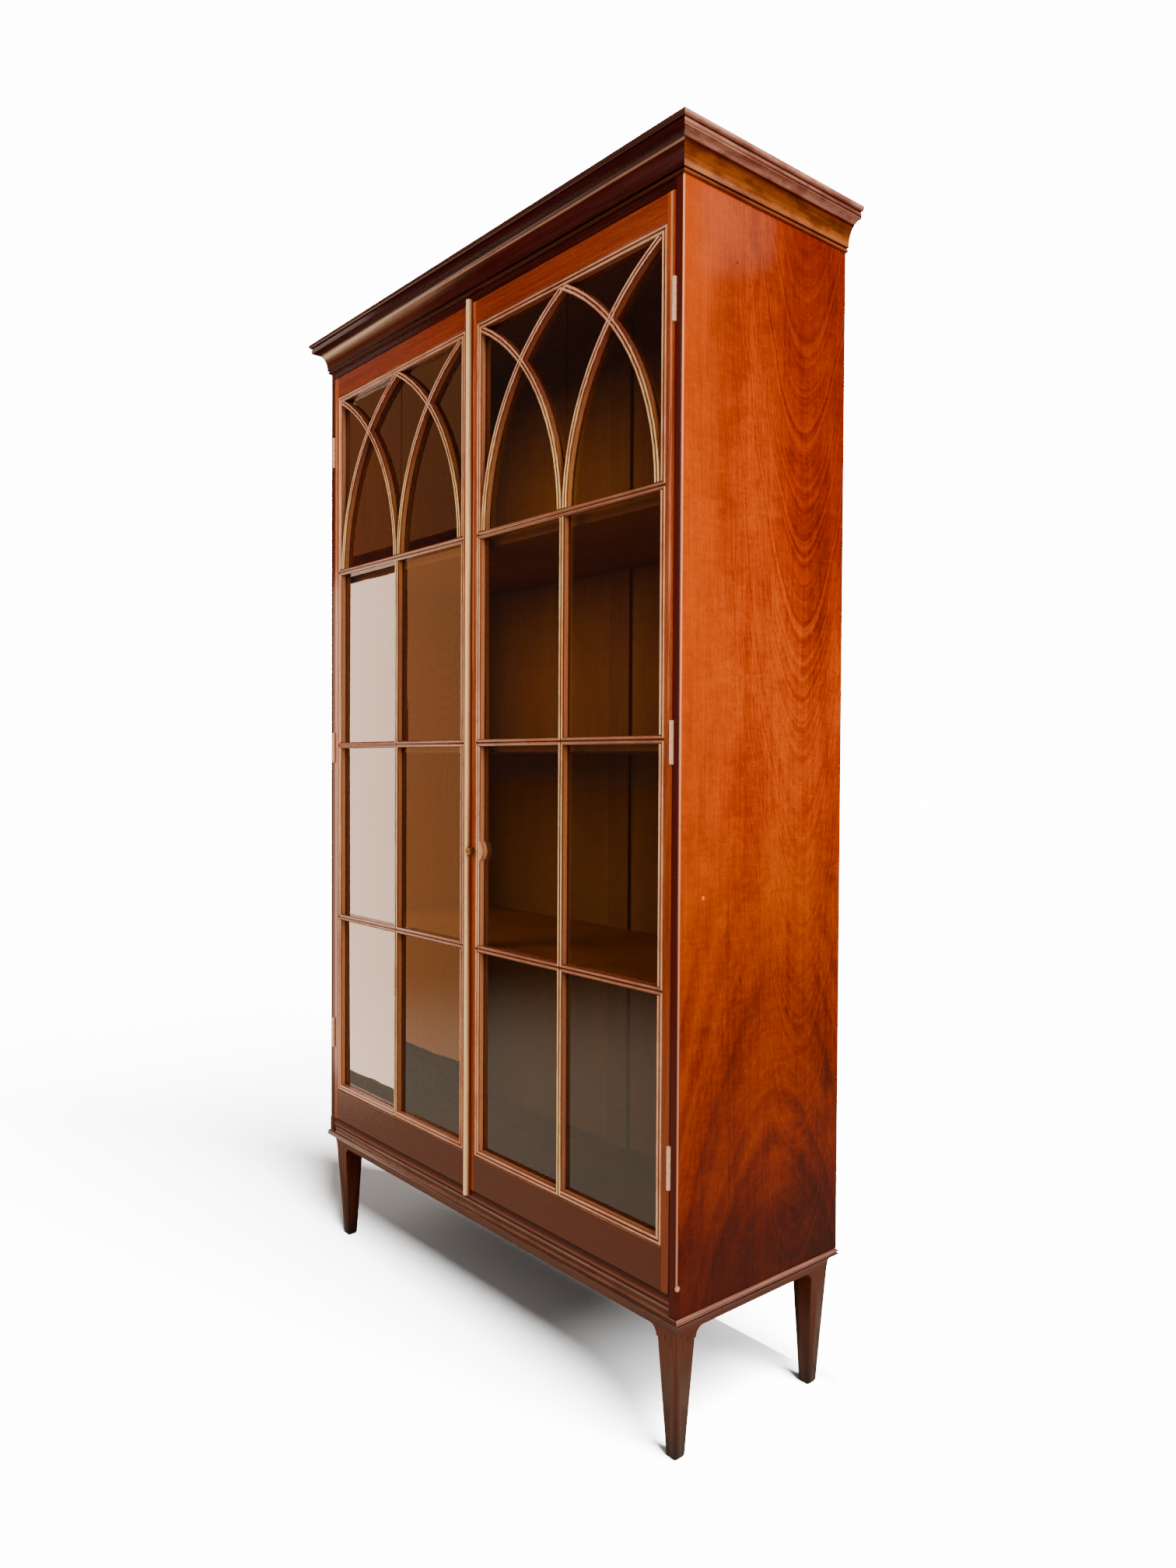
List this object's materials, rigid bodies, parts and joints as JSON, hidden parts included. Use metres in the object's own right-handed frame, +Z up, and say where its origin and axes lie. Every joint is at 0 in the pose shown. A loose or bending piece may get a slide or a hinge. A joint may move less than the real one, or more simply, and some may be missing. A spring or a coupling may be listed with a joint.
{
  "type": "glazed bookcase",
  "caption": "Tall freestanding bookcase on tapered legs, with a hollow cornice, fixed shelves and hinged glazed doors whose bars interlace as pointed arches.",
  "frame": {"origin": "floor level, under the middle of the whole bookcase, cornice overhang included", "axes": "+X along the width to the right-hand door, +Y from the doors to the back, +Z up; the doors face -Y"},
  "size_m": [1.15, 0.414, 1.95],
  "materials": {
    "case_wood": "french polished figured mahogany veneer",
    "door_wood": "french polished mahogany",
    "bar_wood": "polished moulded mahogany, worn lighter",
    "dark_wood": "polished dark mahogany",
    "inner_wood": "stained, low sheen",
    "brass": "lacquered, slightly tarnished",
    "glass": "clear drawn sheet"
  },
  "bodies": {
    "case": {"side_right": "case_wood", "side_left": "case_wood", "top_board": "inner_wood", "bottom_board": "dark_wood", "frieze_rail": "dark_wood", "back_panel_right": "inner_wood", "back_panel_left": "inner_wood", "back_muntin": "inner_wood", "shelf_1": "inner_wood", "shelf_2": "inner_wood", "shelf_3": "inner_wood", "cornice_front": "dark_wood", "cornice_right": "case_wood", "cornice_left": "case_wood", "base_rail_front": "dark_wood", "base_rail_right": "dark_wood", "base_rail_left": "dark_wood", "base_rail_back": "dark_wood", "leg_front_left": "dark_wood", "leg_front_right": "dark_wood", "leg_back_right": "dark_wood", "leg_back_left": "dark_wood", "hinge_frame_leaf_lower_right": "brass", "hinge_frame_leaf_middle_right": "brass", "hinge_frame_leaf_upper_right": "brass", "hinge_frame_leaf_lower_left": "brass", "hinge_frame_leaf_middle_left": "brass", "hinge_frame_leaf_upper_left": "brass"},
    "right_door": {"hinge_stile_right": "door_wood", "meeting_stile_right": "door_wood", "top_rail_right": "door_wood", "bottom_rail_right": "door_wood", "centre_bar_right": "bar_wood", "cross_bar_1_right": "bar_wood", "cross_bar_2_right": "bar_wood", "cross_bar_3_right": "bar_wood", "tracery_right": "bar_wood", "glass_right": "glass", "meeting_bead": "bar_wood", "latch_case": "brass", "hinge_door_leaf_lower_right": "brass", "hinge_door_leaf_middle_right": "brass", "hinge_door_leaf_upper_right": "brass"},
    "left_door": {"hinge_stile_left": "door_wood", "meeting_stile_left": "door_wood", "top_rail_left": "door_wood", "bottom_rail_left": "door_wood", "centre_bar_left": "bar_wood", "cross_bar_1_left": "bar_wood", "cross_bar_2_left": "bar_wood", "cross_bar_3_left": "bar_wood", "tracery_left": "bar_wood", "glass_left": "glass", "hinge_door_leaf_lower_left": "brass", "hinge_door_leaf_middle_left": "brass", "hinge_door_leaf_upper_left": "brass"},
    "knob": {"turn_knob": "brass"},
    "latch": {"latch_bolt": "brass"},
    "upper_bolt": {"top_bolt": "brass"},
    "lower_bolt": {"bottom_bolt": "brass"}
  },
  "joints": [
    {"name": "right_door_swing", "type": "hinge", "parent": "case", "child": "right_door", "pos_m": [0.52212, -0.1725, 1.071], "axis": [0, 0, 1], "range_deg": [0, 165]},
    {"name": "left_door_swing", "type": "hinge", "parent": "case", "child": "left_door", "pos_m": [-0.52212, -0.1725, 1.071], "axis": [0, 0, -1], "range_deg": [0, 165]},
    {"name": "knob_turn", "type": "hinge", "parent": "right_door", "child": "knob", "pos_m": [0.0133, -0.171, 0.881], "axis": [0, -1, 0], "range_deg": [0, 90]},
    {"name": "latch_slide", "type": "slide", "parent": "right_door", "child": "latch", "axis": [-1, 0, 0], "range_m": [0, 0.007]},
    {"name": "upper_bolt_slide", "type": "slide", "parent": "left_door", "child": "upper_bolt", "axis": [0, 0, 1], "range_m": [0, 0.01]},
    {"name": "lower_bolt_slide", "type": "slide", "parent": "left_door", "child": "lower_bolt", "axis": [0, 0, -1], "range_m": [0, 0.01]}
  ],
  "couplings": [
    {"joint": "latch_slide", "follows": "knob_turn", "m_per_rad": 0.00445}
  ]
}
